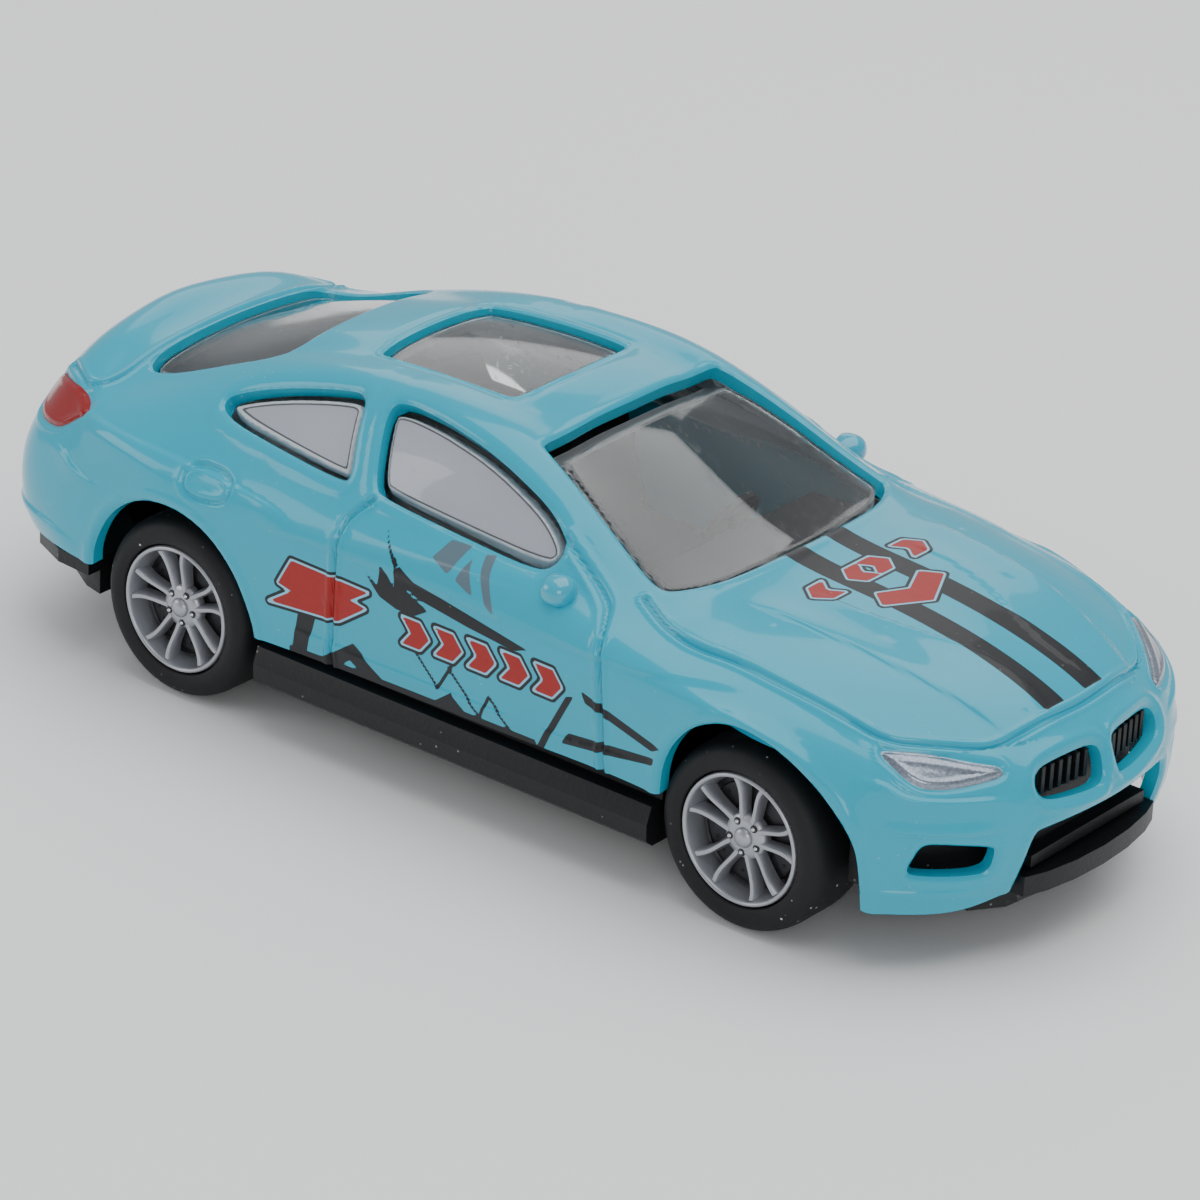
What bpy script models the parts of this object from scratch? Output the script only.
# Pull back car: a die-cast coupe about 1:43, with a clockwork motor on the rear axle.
# Millimetres in the tables, metres in the scene. +X is the nose, +Y the car's left, +Z up,
# and the ground is Z = 0.
import math

import bmesh
import bpy
import numpy as np
from mathutils import Vector

# ---------------------------------------------------------------- driving dimensions (mm)
X_SHIFT = 1.7                # mid-wheelbase to the middle of the overall length
WHEELBASE = 66.0
AXLE_Z = 8.87                # tyre radius, so the axles are this high
TYRE_R = 8.87
WHEEL_OUT = 22.7             # outer face of a wheel from the centre plane
WHEEL_W = 8.2
AXLE_R = 0.75
SHELL_T = 1.0                # wall of the die-cast body
GLASS_GAP = 1.5              # outer surface to the glazing's outer face
GLASS_T = 0.8
MODULE = 0.4                 # motor gears
PINION_TEETH = 12
IDLER_TEETH = 24
IDLER_PINION_TEETH = 10
SPRING_TEETH = 30
MOTOR_HALF_W = 8.0

REAR_X = -WHEELBASE / 2
FRONT_X = WHEELBASE / 2

# Half of the body, (x, y, z): nine lines from the centre line out and down to the lower edge,
# each crossed by nineteen stations from under the tail over the roof to under the nose.
LINES = [
    [(-58.8, 0, 10.4), (-60, 0, 13.6), (-59, 0, 20), (-54.6, 0, 28), (-49.5, 0, 28.2), (-44.2, 0, 28.6),
     (-37, 0, 31), (-29, 0, 33.2), (-18, 0, 34.8), (-6, 0, 35.1), (3, 0, 33.8), (13.2, 0, 30.3),
     (22.8, 0, 26.7), (33, 0, 25.6), (43.5, 0, 24), (52.3, 0, 20.9), (55.6, 0, 17.2), (56.5, 0, 12),
     (55.2, 0, 7.4)],
    [(-58.6, 6, 10.4), (-59.8, 6.2, 13.6), (-58.7, 6.2, 20), (-54.1, 6, 27.6), (-49.3, 6, 27.9), (-44.1, 5.8, 28.4),
     (-37, 5.6, 30.7), (-29, 5.4, 33), (-18, 5.3, 34.6), (-6, 5.3, 34.9), (2.8, 5.5, 33.7), (12.8, 5.8, 30.1),
     (22.4, 6.2, 26.6), (32.8, 6.1, 25.7), (43.3, 5.8, 24.1), (51.9, 5.2, 21.1), (55.2, 5.2, 17.2),
     (56.1, 5.4, 12), (54.9, 5.5, 7.3)],
    [(-57.9, 11.6, 10.5), (-58.9, 12, 13.6), (-57.6, 12, 20), (-53.3, 11.4, 26.9), (-48.6, 11.2, 27.3),
     (-43.9, 10.8, 27.8), (-37, 10.4, 29.9), (-29, 10, 32.1), (-18, 9.9, 34.1), (-6, 10, 34.4), (2.2, 10.5, 33.2),
     (12, 11.2, 29.6), (21.4, 12, 26.2), (32.3, 12, 25.4), (43, 11.4, 23.6), (50.9, 9.8, 20.3),
     (54.2, 9.8, 17.1), (55, 10.4, 12), (53.7, 10.6, 7.1)],
    [(-56.2, 16.6, 10.6), (-57, 17, 13.6), (-56, 16.9, 20), (-51.7, 15.8, 25.5), (-47.8, 15.3, 25.9),
     (-43.2, 14.9, 26.4), (-37, 14.4, 28.5), (-29, 14.1, 31.3), (-17.8, 14.5, 33.5), (-6.5, 15.1, 33.8),
     (1.8, 15.3, 32.7), (10.8, 16.1, 29.2), (19.8, 16.6, 25.5), (31.5, 16.7, 24.3), (42, 15.9, 22.5),
     (49.4, 14.2, 19.9), (52.4, 14.4, 16.9), (52.8, 14.9, 12), (51.6, 15.4, 6.1)],
    [(-53.1, 20.4, 10.6), (-53.9, 20.8, 13.6), (-53.2, 20.7, 19.5), (-49.4, 19, 23.7), (-46.2, 18.9, 24.7),
     (-42.3, 19, 25.5), (-36.5, 19.3, 26.3), (-28.5, 19.6, 27), (-17, 19.9, 27.1), (-6, 20, 26.4), (2, 20, 26.1),
     (9.5, 20.1, 25.8), (17.8, 20.2, 24.2), (29, 20.4, 22.9), (38.5, 20.1, 21.6), (45.7, 19.2, 19.7),
     (48.9, 19.1, 16.5), (48.9, 19.2, 12), (48, 19.6, 6.1)],
    [(-48.7, 22.4, 10.7), (-49.2, 22.6, 13.2), (-48.4, 22.5, 18.5), (-45.9, 21.7, 22.6), (-42.8, 22.1, 23.7),
     (-38.5, 22.5, 23.9), (-33, 22.7, 23.6), (-26, 22.8, 23.2), (-16, 22.7, 23.4), (-6, 22.6, 24), (2, 22.5, 24.4),
     (9.5, 22.5, 24), (17.5, 22.7, 22.8), (28, 22.9, 21.7), (36, 22.8, 20.3), (42.2, 22, 18.4), (44.9, 21.5, 16),
     (45.7, 21.6, 12), (45.3, 21.7, 6.3)],
    [(-45.1, 23.1, 10.6), (-45.2, 23.3, 12.8), (-44.2, 23.4, 16.5), (-41.6, 23.4, 19.8), (-38, 23.6, 21),
     (-34.5, 23.8, 21.4), (-30, 23.8, 21.2), (-24.5, 23.6, 20.4), (-15.5, 23.4, 20), (-6, 23.3, 19.9),
     (2, 23.3, 19.8), (9.5, 23.4, 19.7), (18, 23.6, 19.9), (27, 23.8, 20.6), (34, 23.7, 20.3), (39.8, 23.1, 17.8),
     (43, 22.7, 15), (44.2, 22.5, 12), (44.2, 22.4, 7.6)],
    [(-40, 23.4, 10.2), (-40, 23.5, 11.4), (-39, 23.6, 13.5), (-37, 23.8, 15.5), (-34.5, 23.9, 16.3), (-32, 24, 16.5),
     (-29, 23.9, 16.3), (-23.5, 23.6, 15.5), (-15, 23.3, 15), (-6, 23.2, 15), (2, 23.2, 15), (9.5, 23.3, 15),
     (18, 23.5, 15.3), (26, 23.8, 16), (31.5, 23.8, 16), (36, 23.5, 14.5), (38.8, 23.2, 12.5), (39.8, 23.1, 10.8),
     (40, 23, 8.5)],
    [(-35, 23.3, 9.7), (-34.7, 23.3, 9.7), (-34, 23.3, 9.7), (-33, 23.3, 9.7), (-32, 23.3, 9.7), (-30.5, 23.3, 9.7),
     (-28, 23.2, 9.7), (-22.5, 23.1, 9.8), (-15, 22.8, 9.9), (-6, 22.7, 10), (2, 22.7, 10.1), (9.5, 22.8, 10.3),
     (18, 23, 10.6), (25.5, 23.2, 10.4), (29, 23.2, 9.8), (31, 23.2, 9.4), (33, 23.2, 9.2), (34.5, 23.1, 9),
     (36, 23, 8.8)],
]

# Openings in side view (x, z).
DOOR_WINDOW = [(-14.1, 33.1), (-12.1, 33.5), (-9.6, 33.4), (-6.5, 33.2), (-4, 32.8), (-1.5, 32.1),
               (1.2, 31.3), (4, 30.2), (6.8, 29), (8.7, 27.8), (8.7, 26.6), (7.9, 25.9), (3.8, 25.9),
               (-2.1, 26.2), (-8, 26.6), (-11, 26.9), (-11.7, 27.9), (-12.8, 29.8)]
QUARTER_WINDOW = [(-32.1, 28.6), (-31.6, 29), (-30.2, 29.5), (-28.1, 30.1), (-25.7, 30.9), (-23, 31.7),
                  (-20.1, 32.3), (-17.4, 32.7), (-16.8, 32.4), (-16.2, 31), (-15.4, 29.3), (-14.7, 27.5),
                  (-15.2, 27), (-20.2, 27.2), (-24.2, 27.5), (-27.7, 27.7), (-30.4, 27.9)]
REAR_ARCH = [(-43, 4), (-43, 10.4), (-42.5, 13), (-41.6, 15.4), (-39.9, 17.4), (-37.9, 18.8),
             (-35.4, 19.8), (-32.6, 20.1), (-29.7, 19.5), (-26.9, 17.9), (-24.8, 15.5), (-23.6, 12.8),
             (-22.7, 9.8), (-22.7, 4)]
FRONT_ARCH = [(24.3, 4), (24.4, 10.2), (24.7, 13), (25.7, 15.9), (27.6, 18.3), (30.2, 19.8), (33, 20.3),
              (36.3, 19.7), (39.9, 17.8), (42.7, 15.7), (44.6, 13.3), (45.5, 10.6), (45.7, 4)]
# Openings in plan (x, y), right half first, closed by mirroring.
WINDSCREEN = [(2.6, 12.6), (3.4, 12.9), (8.9, 14.3), (13.4, 15.3), (17.6, 16.3), (19.2, 16.1),
              (20.9, 13.7), (22.1, 9.8), (22.7, 4.9), (22.8, 0)]
SUNROOF = [(-21.9, 0), (-21.8, 7.2), (-20.8, 8.2), (-6, 8.5), (-5, 7.7), (-4.6, 0)]
REAR_WINDOW = [(-46, 0), (-45.9, 8.8), (-45.8, 12.6), (-43.6, 13.4), (-36.5, 12.3), (-31, 11.1),
               (-30.4, 8), (-30.2, 0)]
# Openings in front view (y, z), one side.
GRILLE = [(8.5, 17.9), (7.2, 18.3), (3.4, 18.5), (1.2, 18.2), (0.8, 17.4), (1.1, 15.2), (2, 14.8),
          (6.6, 15.2), (8.2, 15.6), (9.1, 16.6)]
INTAKE = [(8.6, 12.9), (9.9, 12.3), (10.4, 9), (10.6, 3), (-10.6, 3), (-10.4, 9), (-9.9, 12.3),
          (-8.6, 12.9)]
FOG = [(19.4, 10.1), (19.1, 11.2), (18.4, 12.6), (17, 12.8), (13.7, 12.3), (13.5, 9.6), (16.6, 9.6),
       (18.6, 9.8)]

# ---------------------------------------------------------------- empty scene, collections
for old in list(bpy.data.objects):
    bpy.data.objects.remove(old, do_unlink=True)

car = bpy.data.collections.new("pull_back_car")
bpy.context.scene.collection.children.link(car)
tools = bpy.data.collections.new("cutters")
bpy.context.scene.collection.children.link(tools)


def mm(x, y=0.0, z=0.0):
    """Millimetres from mid-wheelbase on the ground, to metres in the scene."""
    return Vector(((x + X_SHIFT) * 0.001, y * 0.001, z * 0.001))


def material(name, colour, roughness, metallic=0.0, transmission=0.0):
    mat = bpy.data.materials.new(name)
    mat.use_nodes = True
    shader = mat.node_tree.nodes["Principled BSDF"]
    shader.inputs["Base Color"].default_value = (*colour, 1.0)
    shader.inputs["Roughness"].default_value = roughness
    shader.inputs["Metallic"].default_value = metallic
    shader.inputs["Transmission Weight"].default_value = transmission
    mat.diffuse_color = (*colour, 1.0)
    return mat


PAINT = material("turquoise_paint", (0.045, 0.48, 0.68), 0.12)
BLACK = material("black_plastic", (0.018, 0.018, 0.02), 0.5)
CLEAR = material("clear_plastic", (0.8, 0.82, 0.85), 0.05, 0.0, 0.6)
SILVER = material("silver_plastic", (0.52, 0.53, 0.57), 0.3, 0.7)
RUBBER = material("tyre_rubber", (0.022, 0.022, 0.025), 0.7)
STEEL = material("steel", (0.6, 0.6, 0.6), 0.3, 1.0)
NYLON = material("white_nylon", (0.8, 0.8, 0.76), 0.4)
SPRING = material("spring_steel", (0.2, 0.22, 0.28), 0.35, 1.0)


def add(name, mesh_or_curve, mat, collection=car):
    obj = bpy.data.objects.new(name, mesh_or_curve)
    collection.objects.link(obj)
    if mat is not None:
        mesh_or_curve.materials.append(mat)
    return obj


def as_cutter(obj):
    obj.hide_render = True
    obj.display_type = "WIRE"
    return obj


def boolean(obj, other, operation="DIFFERENCE"):
    mod = obj.modifiers.new(operation.title() + "_" + other.name, "BOOLEAN")
    mod.operation = operation
    mod.solver = "EXACT"
    mod.object = other


def prism(name, outline, axis, lo, hi, mat=None, collection=tools):
    """Solid of a flat outline between two planes; axis is the one it is pushed along."""
    mesh = bpy.data.meshes.new(name)
    bm = bmesh.new()
    place = {"x": lambda a, b, d: mm(d, a, b), "y": lambda a, b, d: mm(a, d, b),
             "z": lambda a, b, d: mm(a, b, d)}[axis]
    low = [bm.verts.new(place(a, b, lo)) for a, b in outline]
    high = [bm.verts.new(place(a, b, hi)) for a, b in outline]
    bm.faces.new(low)
    bm.faces.new(high)
    for i in range(len(outline)):
        j = (i + 1) % len(outline)
        bm.faces.new((low[i], low[j], high[j], high[i]))
    bmesh.ops.recalc_face_normals(bm, faces=bm.faces)
    bm.to_mesh(mesh)
    bm.free()
    obj = add(name, mesh, mat, collection)
    return as_cutter(obj) if collection is tools else obj


def box(name, x0, x1, y0, y1, z0, z1, mat=None, collection=tools):
    outline = [(x0, y0), (x1, y0), (x1, y1), (x0, y1)]
    return prism(name, outline, "z", z0, z1, mat, collection)


def mirrored(half):
    """Close a half outline (x, y >= 0) over the centre line."""
    return half + [(x, -y) for x, y in reversed(half) if y > 0]


def lathe(name, profile, centre, outward, steps, mat, closed=True, collection=car):
    """Ring or disc turned about an axle; profile is (radius, height), down at +X."""
    mesh = bpy.data.meshes.new(name)
    verts = [(r * 0.001, 0.0, h * 0.001) for r, h in profile]
    edges = [(i, i + 1) for i in range(len(verts) - 1)]
    if closed:
        edges.append((len(verts) - 1, 0))
    mesh.from_pydata(verts, edges, [])
    obj = add(name, mesh, mat, collection)
    mod = obj.modifiers.new("Turn", "SCREW")
    mod.angle = math.tau
    mod.steps = steps
    mod.render_steps = steps
    mod.use_merge_vertices = True
    mod.merge_threshold = 0.000001
    mod.use_normal_calculate = False
    obj.location = mm(*centre)
    obj.rotation_euler = (-math.pi / 2 * outward, 0.0, 0.0)
    return obj


# ---------------------------------------------------------------- body shell and glazing
def padded(cage):
    """A row beyond each edge, mirrored at the centre line and carried straight on elsewhere."""
    inner = cage[1] * np.array([1.0, -1.0, 1.0])
    cage = np.concatenate([inner[None], cage, (2 * cage[-1] - cage[-2])[None]])
    return np.concatenate([(2 * cage[:, 0] - cage[:, 1])[:, None], cage, (2 * cage[:, -1] - cage[:, -2])[:, None]], 1)


def weights(t, count):
    """Which four cage points a place on the surface leans on, and how much (cubic spline)."""
    first = np.clip(np.floor(t).astype(int), 0, count - 2)
    f = t - first
    parts = [(1 - f) ** 3, 3 * f ** 3 - 6 * f ** 2 + 4, -3 * f ** 3 + 3 * f ** 2 + 3 * f + 1, f ** 3]
    return first, np.stack(parts, -1) / 6


def surface(u, v, cage):
    """Point of the smooth surface, u along the car and v across it."""
    i, along = weights(u, cage.shape[1] - 2)
    j, across = weights(v, cage.shape[0] - 2)
    total = 0.0
    for a in range(4):
        for b in range(4):
            total = total + (along[..., a] * across[..., b])[..., None] * cage[j + b, i + a]
    return total


def cage_through(lines, rounds=3, pull=0.75):
    """Moves the cage out until the smooth surface passes close to the drawn points."""
    target = np.array(lines, float)
    cage = target.copy()
    v, u = np.meshgrid(np.arange(target.shape[0]) * 1.0, np.arange(target.shape[1]) * 1.0, indexing="ij")
    for _ in range(rounds):
        cage = cage + pull * (target - surface(u, v, padded(cage)))
        cage[0, :, 1] = 0.0
    return padded(cage)


CAGE = cage_through(LINES)[1:-1, 1:-1]


def cage_object(name, rows, cols, mat):
    mesh = bpy.data.meshes.new(name)
    verts = [mm(*CAGE[r, c].tolist()) for r in rows for c in cols]
    n = len(cols)
    faces = []
    for i in range(len(rows) - 1):
        for j in range(n - 1):
            a = i * n + j
            faces.append((a, a + 1, a + n + 1, a + n))
    mesh.from_pydata([tuple(v) for v in verts], [], faces)
    obj = add(name, mesh, mat)
    mirror = obj.modifiers.new("Mirror", "MIRROR")
    mirror.use_axis = (False, True, False)
    mirror.use_clip = True
    mirror.merge_threshold = 0.00001
    smooth = obj.modifiers.new("Smooth", "SUBSURF")
    smooth.levels = 1
    smooth.render_levels = 1
    return obj


body = cage_object("body_shell", range(9), range(19), PAINT)
wall = body.modifiers.new("Wall", "SOLIDIFY")
wall.thickness = SHELL_T * 0.001
wall.offset = -1.0

boolean(body, prism("cut_door_windows", DOOR_WINDOW, "y", -30, 30))
boolean(body, prism("cut_quarter_windows", QUARTER_WINDOW, "y", -30, 30))
screen = WINDSCREEN + [(x, -y) for x, y in reversed(WINDSCREEN) if y > 0]
boolean(body, prism("cut_windscreen", screen, "z", 22.5, 40))
boolean(body, prism("cut_sunroof", mirrored(SUNROOF), "z", 28, 40))
boolean(body, prism("cut_rear_window", mirrored(REAR_WINDOW), "z", 25.2, 40))
for side in (-1, 1):
    lo, hi = sorted((side * 12, side * 30))
    boolean(body, prism("cut_rear_arch", REAR_ARCH, "y", lo, hi))
    boolean(body, prism("cut_front_arch", FRONT_ARCH, "y", lo, hi))
    boolean(body, prism("cut_grille", [(side * y, z) for y, z in GRILLE], "x", 45, 60))
    boolean(body, prism("cut_fog", [(side * y, z) for y, z in FOG], "x", 40, 60))
boolean(body, prism("cut_intake", INTAKE, "x", 45, 60))

glass = cage_object("window_moulding", range(5), range(5, 14), CLEAR)
inset = glass.modifiers.new("Inset", "DISPLACE")
inset.strength = -GLASS_GAP * 0.001
inset.mid_level = 0.0
sheet = glass.modifiers.new("Wall", "SOLIDIFY")
sheet.thickness = GLASS_T * 0.001
sheet.offset = -1.0


def solid_y(name, outline, y0, y1, x, z, mat, collection=car):
    """Outline about (x, z) pushed between two planes of y; the origin stays on the axis."""
    mesh = bpy.data.meshes.new(name)
    bm = bmesh.new()
    low = [bm.verts.new((a * 0.001, y0 * 0.001, b * 0.001)) for a, b in outline]
    high = [bm.verts.new((a * 0.001, y1 * 0.001, b * 0.001)) for a, b in outline]
    bm.faces.new(low)
    bm.faces.new(high)
    for i in range(len(outline)):
        j = (i + 1) % len(outline)
        bm.faces.new((low[i], low[j], high[j], high[i]))
    bmesh.ops.recalc_face_normals(bm, faces=bm.faces)
    bm.to_mesh(mesh)
    bm.free()
    obj = add(name, mesh, mat, collection)
    obj.location = mm(x, 0, z)
    return as_cutter(obj) if collection is tools else obj


def circle(radius, sides, turn=0.0):
    return [(radius * math.cos(math.tau * (i + turn) / sides), radius * math.sin(math.tau * (i + turn) / sides))
            for i in range(sides)]


# Two posts under the skin take the screws that hold the base on.
SCREW_X = (-50.0, 44.5)
POST_TOP = (27.4, 23.3)
for x, top in zip(SCREW_X, POST_TOP):
    outline = [(x + a, b) for a, b in circle(2.2, 12)]
    boolean(body, prism("post", outline, "z", 7.2, top), "UNION")
    outline = [(x + a, b) for a, b in circle(1.0, 12)]
    boolean(body, prism("post_hole", outline, "z", 5.0, 13.5))

# Door mirrors, cast with the shell.
MIRROR_AT = (11.1, 21.0, 25.1)
MIRROR_HALF = (1.7, 1.9, 1.5)
for side in (-1, 1):
    mesh = bpy.data.meshes.new("mirror_pod")
    bm = bmesh.new()
    bmesh.ops.create_uvsphere(bm, u_segments=14, v_segments=8, radius=0.001)
    for vert in bm.verts:
        vert.co = Vector([c * half for c, half in zip(vert.co, MIRROR_HALF)])
        vert.co += mm(MIRROR_AT[0], side * MIRROR_AT[1], MIRROR_AT[2])
    bm.to_mesh(mesh)
    bm.free()
    boolean(body, as_cutter(add("mirror_pod", mesh, None, tools)), "UNION")

# ---------------------------------------------------------------- base plate
BASE_Z = (4.6, 6.2)
SPINE = [(-56.6, 0), (-56.2, 8), (-54.2, 12.5), (50.6, 12.5), (52.6, 9.6), (53.2, 5), (53.4, 0)]
TAIL = [(-58.5, 0), (-58.3, 6), (-57.5, 11.5), (-55.7, 16.4), (-52.5, 20.1), (-48.4, 21.9),
        (-44.2, 22.2), (-44.2, 14.8), (-51.8, 9.8), (-53.4, 0)]
TAIL_UP = [(-56.4, 0), (-56.2, 6), (-55.4, 10.5), (-53.2, 14.6), (-49.8, 18), (-46.6, 19.9),
           (-44.4, 20.4), (-44.4, 15), (-52, 10), (-53.6, 0)]
SPLITTER = [(54.4, 0), (54.2, 5), (53.6, 9.4), (50.2, 11.2), (46.2, 17.8), (44.6, 17.8), (44.6, 0)]
SPLITTER_LIP = [(56.1, 0), (55.9, 4), (55.3, 7.6), (54.5, 9.9), (53.1, 9.9), (53.1, 0)]
SILL_X = (-22.4, 23.7)
SILL_SECTION = [(15, 4.9), (22.4, 4.9), (23.3, 5.6), (23.4, 7.2), (22.8, 8.9), (21.3, 9.0), (21.1, 11.2),
                (20.2, 11.2), (19.8, 6.4), (15, 6.4)]

base = prism("base_plate", mirrored(SPINE), "z", *BASE_Z, BLACK, car)
boolean(base, prism("tail_panel", mirrored(TAIL), "z", 8.6, 10.0), "UNION")
boolean(base, prism("tail_upstand", mirrored(TAIL_UP), "z", 6.0, 9.4), "UNION")
boolean(base, prism("splitter", mirrored(SPLITTER), "z", 5.4, 6.9), "UNION")
boolean(base, prism("splitter_lip", mirrored(SPLITTER_LIP), "z", 6.4, 8.3), "UNION")
for side in (-1, 1):
    section = [(side * y, z) for y, z in SILL_SECTION]
    sill = prism("sill", section, "x", *SILL_X)
    boolean(base, sill, "UNION")
    lo, hi = sorted((side * 11, side * 17))
    boolean(base, box("sill_bridge", -21, 23, lo, hi, 4.95, 6.1), "UNION")
    lo, hi = sorted((side * 9, side * 11))
    boolean(base, box("axle_rib", 30.4, 35.6, lo, hi, 5.0, 11.0), "UNION")
boolean(base, solid_y("axle_slot", circle(0.85, 16), -13, 13, FRONT_X, AXLE_Z, None, tools))
boolean(base, box("motor_opening", -38.8, -10.2, -8.5, 8.5, 3, 9))
for x in SCREW_X:
    boolean(base, prism("screw_hole", [(x + a, b) for a, b in circle(1.15, 12, 0.5)], "z", 3, 9))
    boolean(base, prism("head_recess", [(x + a, b) for a, b in circle(1.95, 12, 0.5)], "z", 3, 5.75))

# ---------------------------------------------------------------- black nose insert
NOSE = [(52.8, 0), (52.7, 5), (52.2, 8.6), (50.4, 11.6), (48.2, 14.6), (46.4, 17.2), (44.0, 19.4),
        (42.6, 19.4), (46.8, 12.6), (48.4, 6), (48.4, 0)]
nose = prism("front_grille_insert", mirrored(NOSE), "z", 7.3, 16.2, BLACK, car)
brow = [(52.8, 0), (52.7, 5), (52.2, 8.6), (51.2, 9.6), (48.6, 9.6), (48.4, 0)]
boolean(nose, prism("grille_back", mirrored(brow), "z", 15.5, 18.4), "UNION")
for side in (-1, 1):
    for k in range(6):
        y = side * (2.1 + 1.08 * k)
        boolean(nose, box("slat", 52.0, 54.7 - 0.14 * k, y - 0.27, y + 0.27, 15.3, 17.9), "UNION")
boolean(nose, box("lower_step", 51.5, 54.2, -8.6, 8.6, 8.6, 9.8), "UNION")

# ---------------------------------------------------------------- cabin moulding
TUB = [(-38.5, 21.1), (-10.4, 21.1), (-10.4, 12), (20, 12), (20, 22.2), (17.5, 22.8), (11, 22.4), (10.5, 20.5),
       (12.5, 13.2), (-3.8, 13.2), (-9.2, 14), (-9.4, 22.1), (-38.5, 22.1)]
SEAT = [(-8.7, 12.6), (-9.6, 20), (-10.0, 26.2), (-8.8, 27.2), (-7.6, 26.6), (-6, 20), (-4.9, 16.7), (1.6, 16.9),
        (2.4, 15.8), (1.9, 12.6)]
BENCH = [(-25.5, 21.6), (-26.6, 26.4), (-24.9, 26.8), (-22.7, 23.6), (-15.4, 23.6), (-15.2, 21.6)]
tub = prism("cabin_moulding", TUB, "y", -15.6, 15.6, BLACK, car)
for side in (-1, 1):
    lo, hi = sorted((side * 3.0, side * 11.8))
    boolean(tub, prism("seat", SEAT, "y", lo, hi), "UNION")
    lo, hi = sorted((side * 1.8, side * 11.2))
    boolean(tub, prism("bench", BENCH, "y", lo, hi), "UNION")

# The wheel of the steering stands on its column, left-hand drive.
steer = lathe("steering_wheel", [(2.5, 0.35), (3.2, 0.35), (3.2, -0.35), (2.5, -0.35)], (8.2, 7.4, 21.4),
              0, 20, BLACK)
steer.rotation_euler = (0.0, math.radians(-62), 0.0)
hub = box("steering_boss", -1.2 - X_SHIFT, 1.2 - X_SHIFT, -2.7, 2.7, -0.3, 0.3)
hub.location = steer.location
hub.rotation_euler = steer.rotation_euler
boolean(steer, hub, "UNION")
column = prism("steering_column", [(a - X_SHIFT, b) for a, b in circle(0.55, 8)], "z", -2.1, 0.0)
column.location = steer.location
column.rotation_euler = steer.rotation_euler
boolean(steer, column, "UNION")

# ---------------------------------------------------------------- wheels and axles
WHEEL_Y = WHEEL_OUT - WHEEL_W / 2
H = WHEEL_W / 2
TYRE = [(6.5, H - 0.35), (7.5, H), (8.35, H - 0.45), (8.87, H - 1.8), (8.87, 1.8 - H), (8.35, 0.45 - H),
        (7.5, -H), (6.5, 0.35 - H)]
CORE = [(0.95, 1.3), (1.9, 1.3), (2.0, 1.7), (4.9, 1.7), (5.0, 1.0), (6.2, 1.0), (6.2, 0.5 - H),
        (0.95, 0.5 - H)]
RIM_BACK = 2.0
RIM_FACE = H - 0.4


def rim_openings(sides=10):
    """Wedge gaps that leave ten narrow spokes."""
    gaps = []
    for k in range(sides):
        mid = math.tau * (k + 0.5) / sides
        spread = math.pi / sides
        wedge = [(2.4, 0.0), (3.6, spread - 0.36 / 3.6), (5.55, spread - 0.32 / 5.55), (5.65, 0.0),
                 (5.55, -spread + 0.32 / 5.55), (3.6, -spread + 0.36 / 3.6)]
        gaps.append([(r * math.cos(mid + t), r * math.sin(mid + t)) for r, t in wedge])
    return gaps


def rim(name, x, side):
    curve = bpy.data.curves.new(name, "CURVE")
    curve.dimensions = "2D"
    curve.fill_mode = "BOTH"
    curve.extrude = (RIM_FACE - RIM_BACK) / 2 * 0.001
    for outline in [circle(6.2, 36)] + rim_openings():
        spline = curve.splines.new("POLY")
        spline.points.add(len(outline) - 1)
        for point, (a, b) in zip(spline.points, outline):
            point.co = (a * 0.001, b * 0.001, 0.0, 1.0)
        spline.use_cyclic_u = True
    obj = add(name, curve, SILVER)
    middle = WHEEL_Y + (RIM_FACE + RIM_BACK) / 2
    obj.location = mm(x, side * middle, AXLE_Z)
    obj.rotation_euler = (-math.pi / 2 * side, 0.0, 0.0)


for x, tag in ((FRONT_X, "front"), (REAR_X, "rear")):
    for side, hand in ((1, "left"), (-1, "right")):
        place = (x, side * WHEEL_Y, AXLE_Z)
        lathe("tyre_" + tag + "_" + hand, TYRE, place, side, 36, RUBBER)
        lathe("wheel_core_" + tag + "_" + hand, CORE, place, side, 24, BLACK)
        rim("rim_" + tag + "_" + hand, x, side)

AXLE_END = WHEEL_Y + 1.1
for x, tag in ((FRONT_X, "front"), (REAR_X, "rear")):
    solid_y(tag + "_axle", circle(AXLE_R, 12), -AXLE_END, AXLE_END, x, AXLE_Z, STEEL)

# ---------------------------------------------------------------- clockwork motor
IDLER = (REAR_X + 6.82, AXLE_Z + 2.31)
SPOOL = (IDLER[0] + 7.72, IDLER[1] + 2.1)


def gear(teeth, tooth_at):
    """Involute-like outline, three points a flank, one tooth centred on an angle."""
    pitch = MODULE * teeth / 2
    base_r = pitch * math.cos(math.radians(20))
    inv = math.tan(math.radians(20)) - math.radians(20)
    half = math.pi / (2 * teeth) - 0.075 / pitch
    flank = []
    for r in (pitch - 1.2 * MODULE, pitch - 0.1 * MODULE, pitch + 0.78 * MODULE):
        lean = math.acos(min(1.0, base_r / r))
        flank.append((r, half + inv - (math.tan(lean) - lean)))
    points = []
    for k in range(teeth):
        mid = tooth_at + math.tau * k / teeth
        points += [(r, mid - a) for r, a in flank]
        points += [(r, mid + a) for r, a in reversed(flank)]
    return [(r * math.cos(t), r * math.sin(t)) for r, t in points]


toward_idler = math.atan2(IDLER[1] - AXLE_Z, IDLER[0] - REAR_X)
toward_spool = math.atan2(SPOOL[1] - IDLER[1], SPOOL[0] - IDLER[0])

pinion = solid_y("axle_pinion", gear(PINION_TEETH, toward_idler), 2.5, 5.0, REAR_X, AXLE_Z, NYLON)
boolean(pinion, solid_y("pinion_bore", circle(0.9, 12), 0, 8, REAR_X, AXLE_Z, None, tools))

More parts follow.
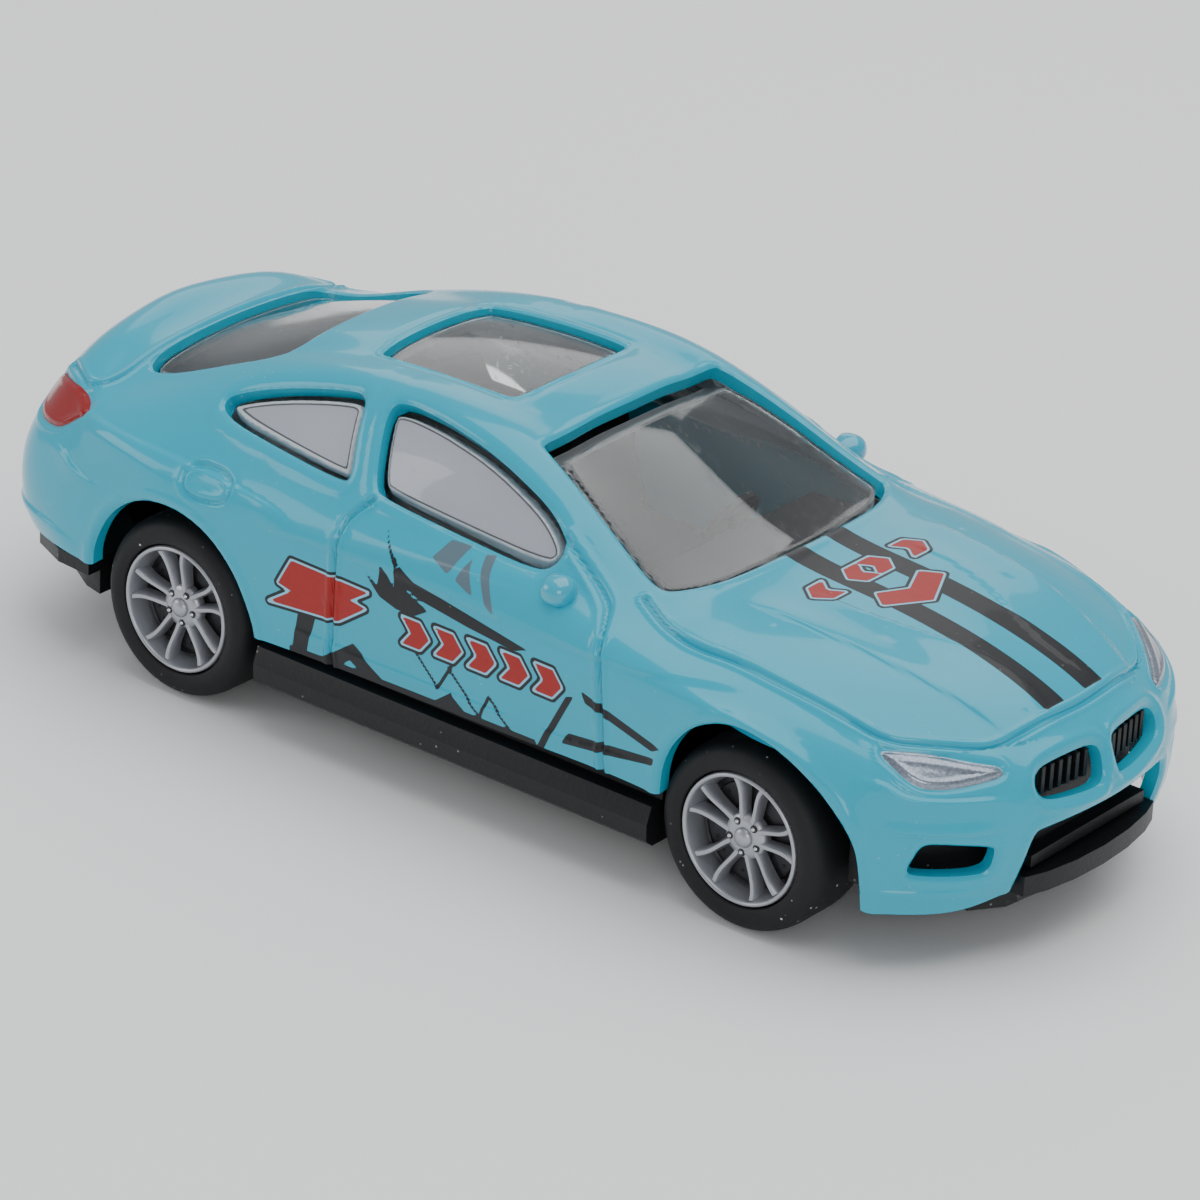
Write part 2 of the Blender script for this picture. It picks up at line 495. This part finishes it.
wheel_at = toward_idler + math.pi + math.pi / IDLER_TEETH
idler = solid_y("idler_gear", gear(IDLER_TEETH, wheel_at), 2.8, 4.7, *IDLER, NYLON)
boolean(idler, solid_y("idler_pinion", gear(IDLER_PINION_TEETH, toward_spool), -0.4, 3.2, *IDLER, None, tools),
        "UNION")
boolean(idler, solid_y("idler_shaft", circle(0.7, 12), -7.6, 7.6, *IDLER, None, tools), "UNION")

spool_at = toward_spool + math.pi + math.pi / SPRING_TEETH
spool = solid_y("winding_gear", gear(SPRING_TEETH, spool_at), 0.2, 2.2, *SPOOL, NYLON)
boolean(spool, solid_y("winding_arbor", circle(1.2, 12), -7.6, 7.6, *SPOOL, None, tools), "UNION")

TURNS = 4
STEPS = 15
coil = []
for k in range(TURNS * STEPS + 1):
    coil.append((1.65 + 1.0 * k / STEPS, math.tau * k / STEPS))
strip = [(r, t) for r, t in coil] + [(r + 0.35, t) for r, t in reversed(coil)]
solid_y("mainspring", [(r * math.cos(t), r * math.sin(t)) for r, t in strip], -5.6, -0.8, *SPOOL, SPRING)

CASE = [(-38.2, 6.2), (-37.0, 5.0), (-12.2, 5.0), (-11.0, 6.2), (-11.0, 18.6), (-12.8, 20.6), (-26.0, 20.6),
        (-38.2, 14.2)]
CAVITY = [(-37.2, 6.6), (-36.6, 6.0), (-12.6, 6.0), (-12.0, 6.6), (-12.0, 18.2), (-13.2, 19.8), (-25.8, 19.8),
          (-37.2, 13.6)]
for side, hand in ((1, "left"), (-1, "right")):
    lo, hi = sorted((side * 0.15, side * MOTOR_HALF_W))
    case = prism("motor_case_" + hand, CASE, "y", lo, hi, BLACK, car)
    lo, hi = sorted((side * -1.0, side * (MOTOR_HALF_W - 1.0)))
    boolean(case, prism("case_cavity", CAVITY, "y", lo, hi))
    lo, hi = sorted((side * 5.0, side * 12.0))
    boolean(case, solid_y("case_axle_hole", circle(0.85, 16), lo, hi, REAR_X, AXLE_Z, None, tools))
    boolean(case, solid_y("case_idler_hole", circle(0.8, 16), lo, hi, *IDLER, None, tools))
    boolean(case, solid_y("case_arbor_hole", circle(1.3, 16), lo, hi, *SPOOL, None, tools))

# ---------------------------------------------------------------- screws
SCREW = [(0.0, 12.6), (0.72, 12.0), (0.72, 5.45), (1.6, 5.45), (1.6, 4.8), (0.0, 4.8)]
for x, tag in zip(SCREW_X, ("rear", "front")):
    lathe("screw_" + tag, SCREW, (x, 0, 0), 0, 12, STEEL, closed=False)
